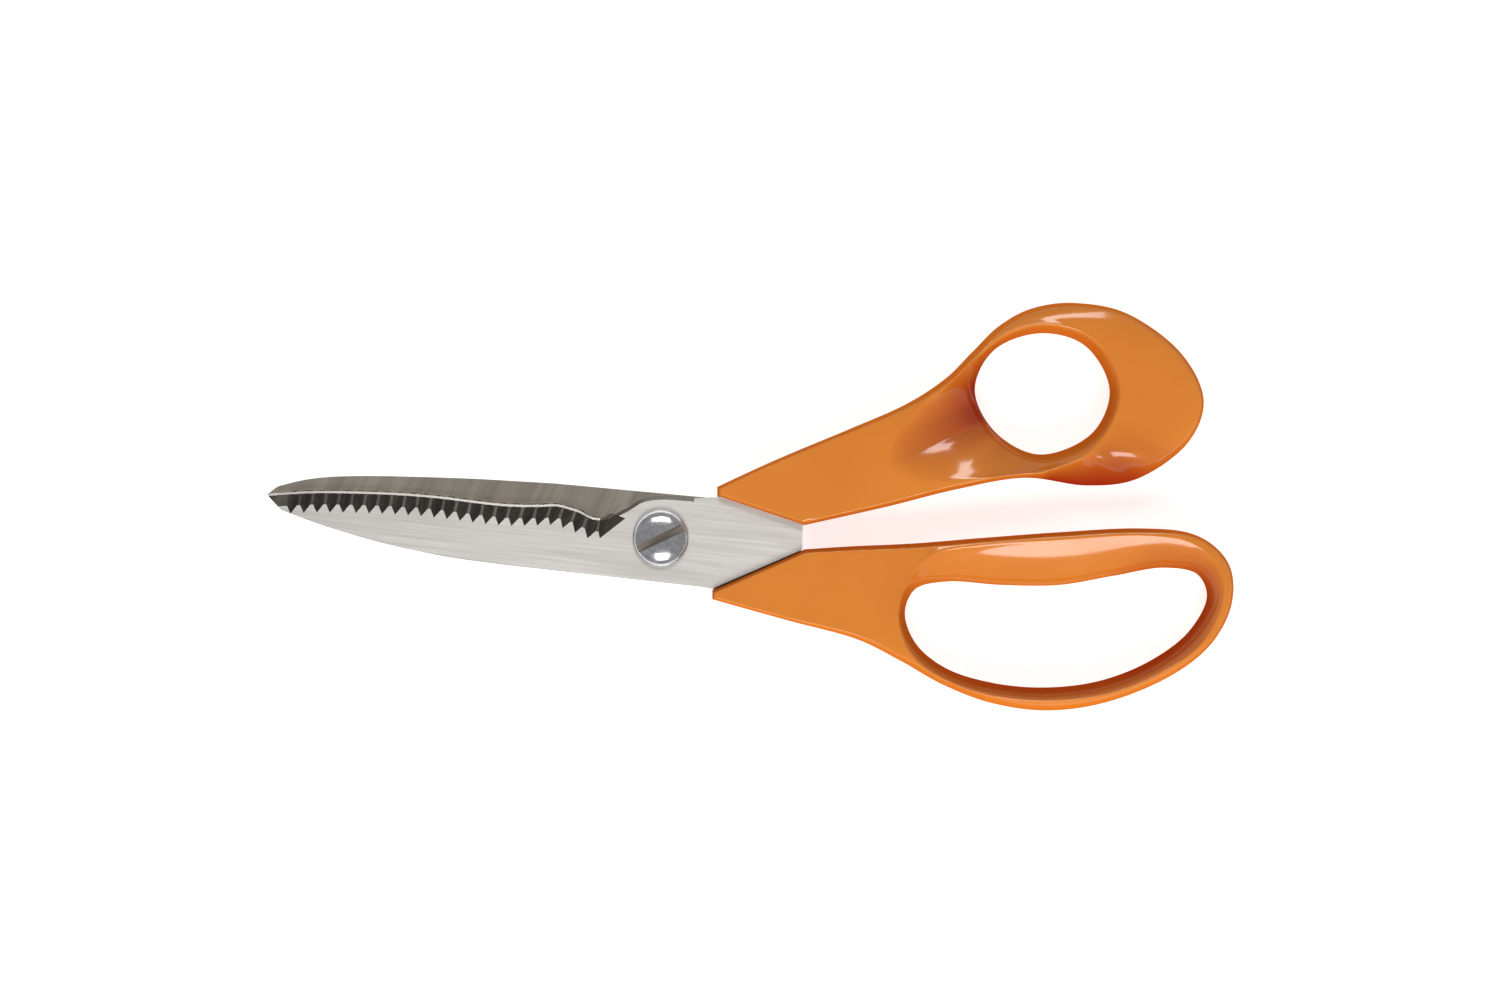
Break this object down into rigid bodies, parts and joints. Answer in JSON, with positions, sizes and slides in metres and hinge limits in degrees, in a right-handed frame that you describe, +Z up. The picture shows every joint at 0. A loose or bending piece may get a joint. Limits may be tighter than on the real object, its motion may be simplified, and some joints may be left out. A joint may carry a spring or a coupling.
{
  "type": "pinking shears",
  "caption": "Closed pinking shears with fluted steel blades on a slotted pivot screw and moulded handles, a round thumb loop and a long finger loop.",
  "frame": {"origin": "bottom centre of the bounding box, on the surface that the closed shears lie on", "axes": "+Z up, towards the side that shows the screw's slotted head; +X from the tips towards the handles; +Y towards the thumb loop"},
  "size_m": [0.23, 0.097, 0.016],
  "materials": {
    "front_steel": "fine lengthwise satin grind",
    "back_steel": "cross-ground sliding face",
    "polished_steel": "polished",
    "orange_plastic": "high gloss, moulded",
    "nylon": "smooth"
  },
  "bodies": {
    "back_half": {"back_blade": "back_steel", "finger_handle": "orange_plastic", "pivot_screw": "polished_steel", "pivot_disc": "nylon", "pivot_nut": "polished_steel"},
    "front_half": {"front_blade": "front_steel", "thumb_handle": "orange_plastic"}
  },
  "joints": [
    {"name": "blade_pivot", "type": "hinge", "parent": "back_half", "child": "front_half", "pos_m": [-0.02127, -0.00743, 0.0072], "axis": [0, 0, 1], "range_deg": [0, 60]}
  ]
}
